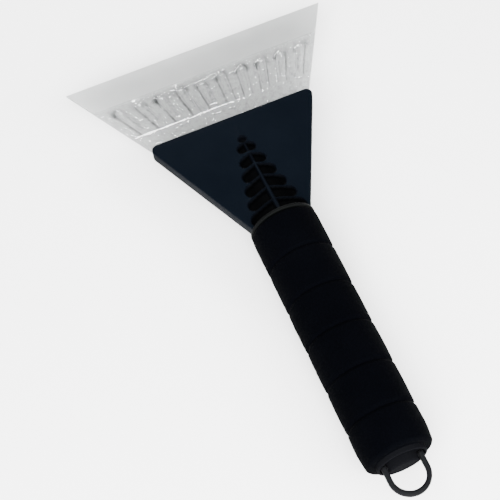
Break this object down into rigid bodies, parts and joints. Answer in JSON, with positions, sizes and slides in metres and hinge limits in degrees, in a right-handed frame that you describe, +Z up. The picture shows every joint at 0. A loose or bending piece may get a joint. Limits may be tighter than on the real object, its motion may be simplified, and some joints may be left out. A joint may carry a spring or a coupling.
{
  "type": "windshield ice scraper",
  "caption": "Hand ice scraper: a clear ribbed blade flaring from a flat triangular head, on a foam-covered tube handle with an end cap and a tilting hang loop.",
  "frame": {"origin": "on the handle's axis, in the middle of the grip's third segment counted from the head", "axes": "+Y along the handle towards the blade, +X across the blade, +Z up, out of the side of the head with the tread"},
  "size_m": [0.14, 0.2601, 0.033],
  "materials": {
    "clear_blade": "gloss",
    "head_plastic": "satin",
    "ring_plastic": "satin",
    "tube_plastic": "satin",
    "grip_foam": "matte",
    "cap_plastic": "satin",
    "loop_plastic": "satin",
    "screw_steel": "satin"
  },
  "bodies": {
    "scraper": {"scraper_blade": "clear_blade", "head_body": "head_plastic", "head_cover": "head_plastic", "head_screws": "screw_steel", "collar_ring": "ring_plastic", "handle_tube": "tube_plastic", "spigot_pin": "screw_steel", "foam_grip": "grip_foam", "end_cap": "cap_plastic"},
    "loop": {"hang_loop": "loop_plastic"}
  },
  "joints": [
    {"name": "loop_tilt", "type": "hinge", "parent": "scraper", "child": "loop", "pos_m": [0, -0.07435, 0], "axis": [1, 0, 0], "range_deg": [-60, 60]}
  ]
}
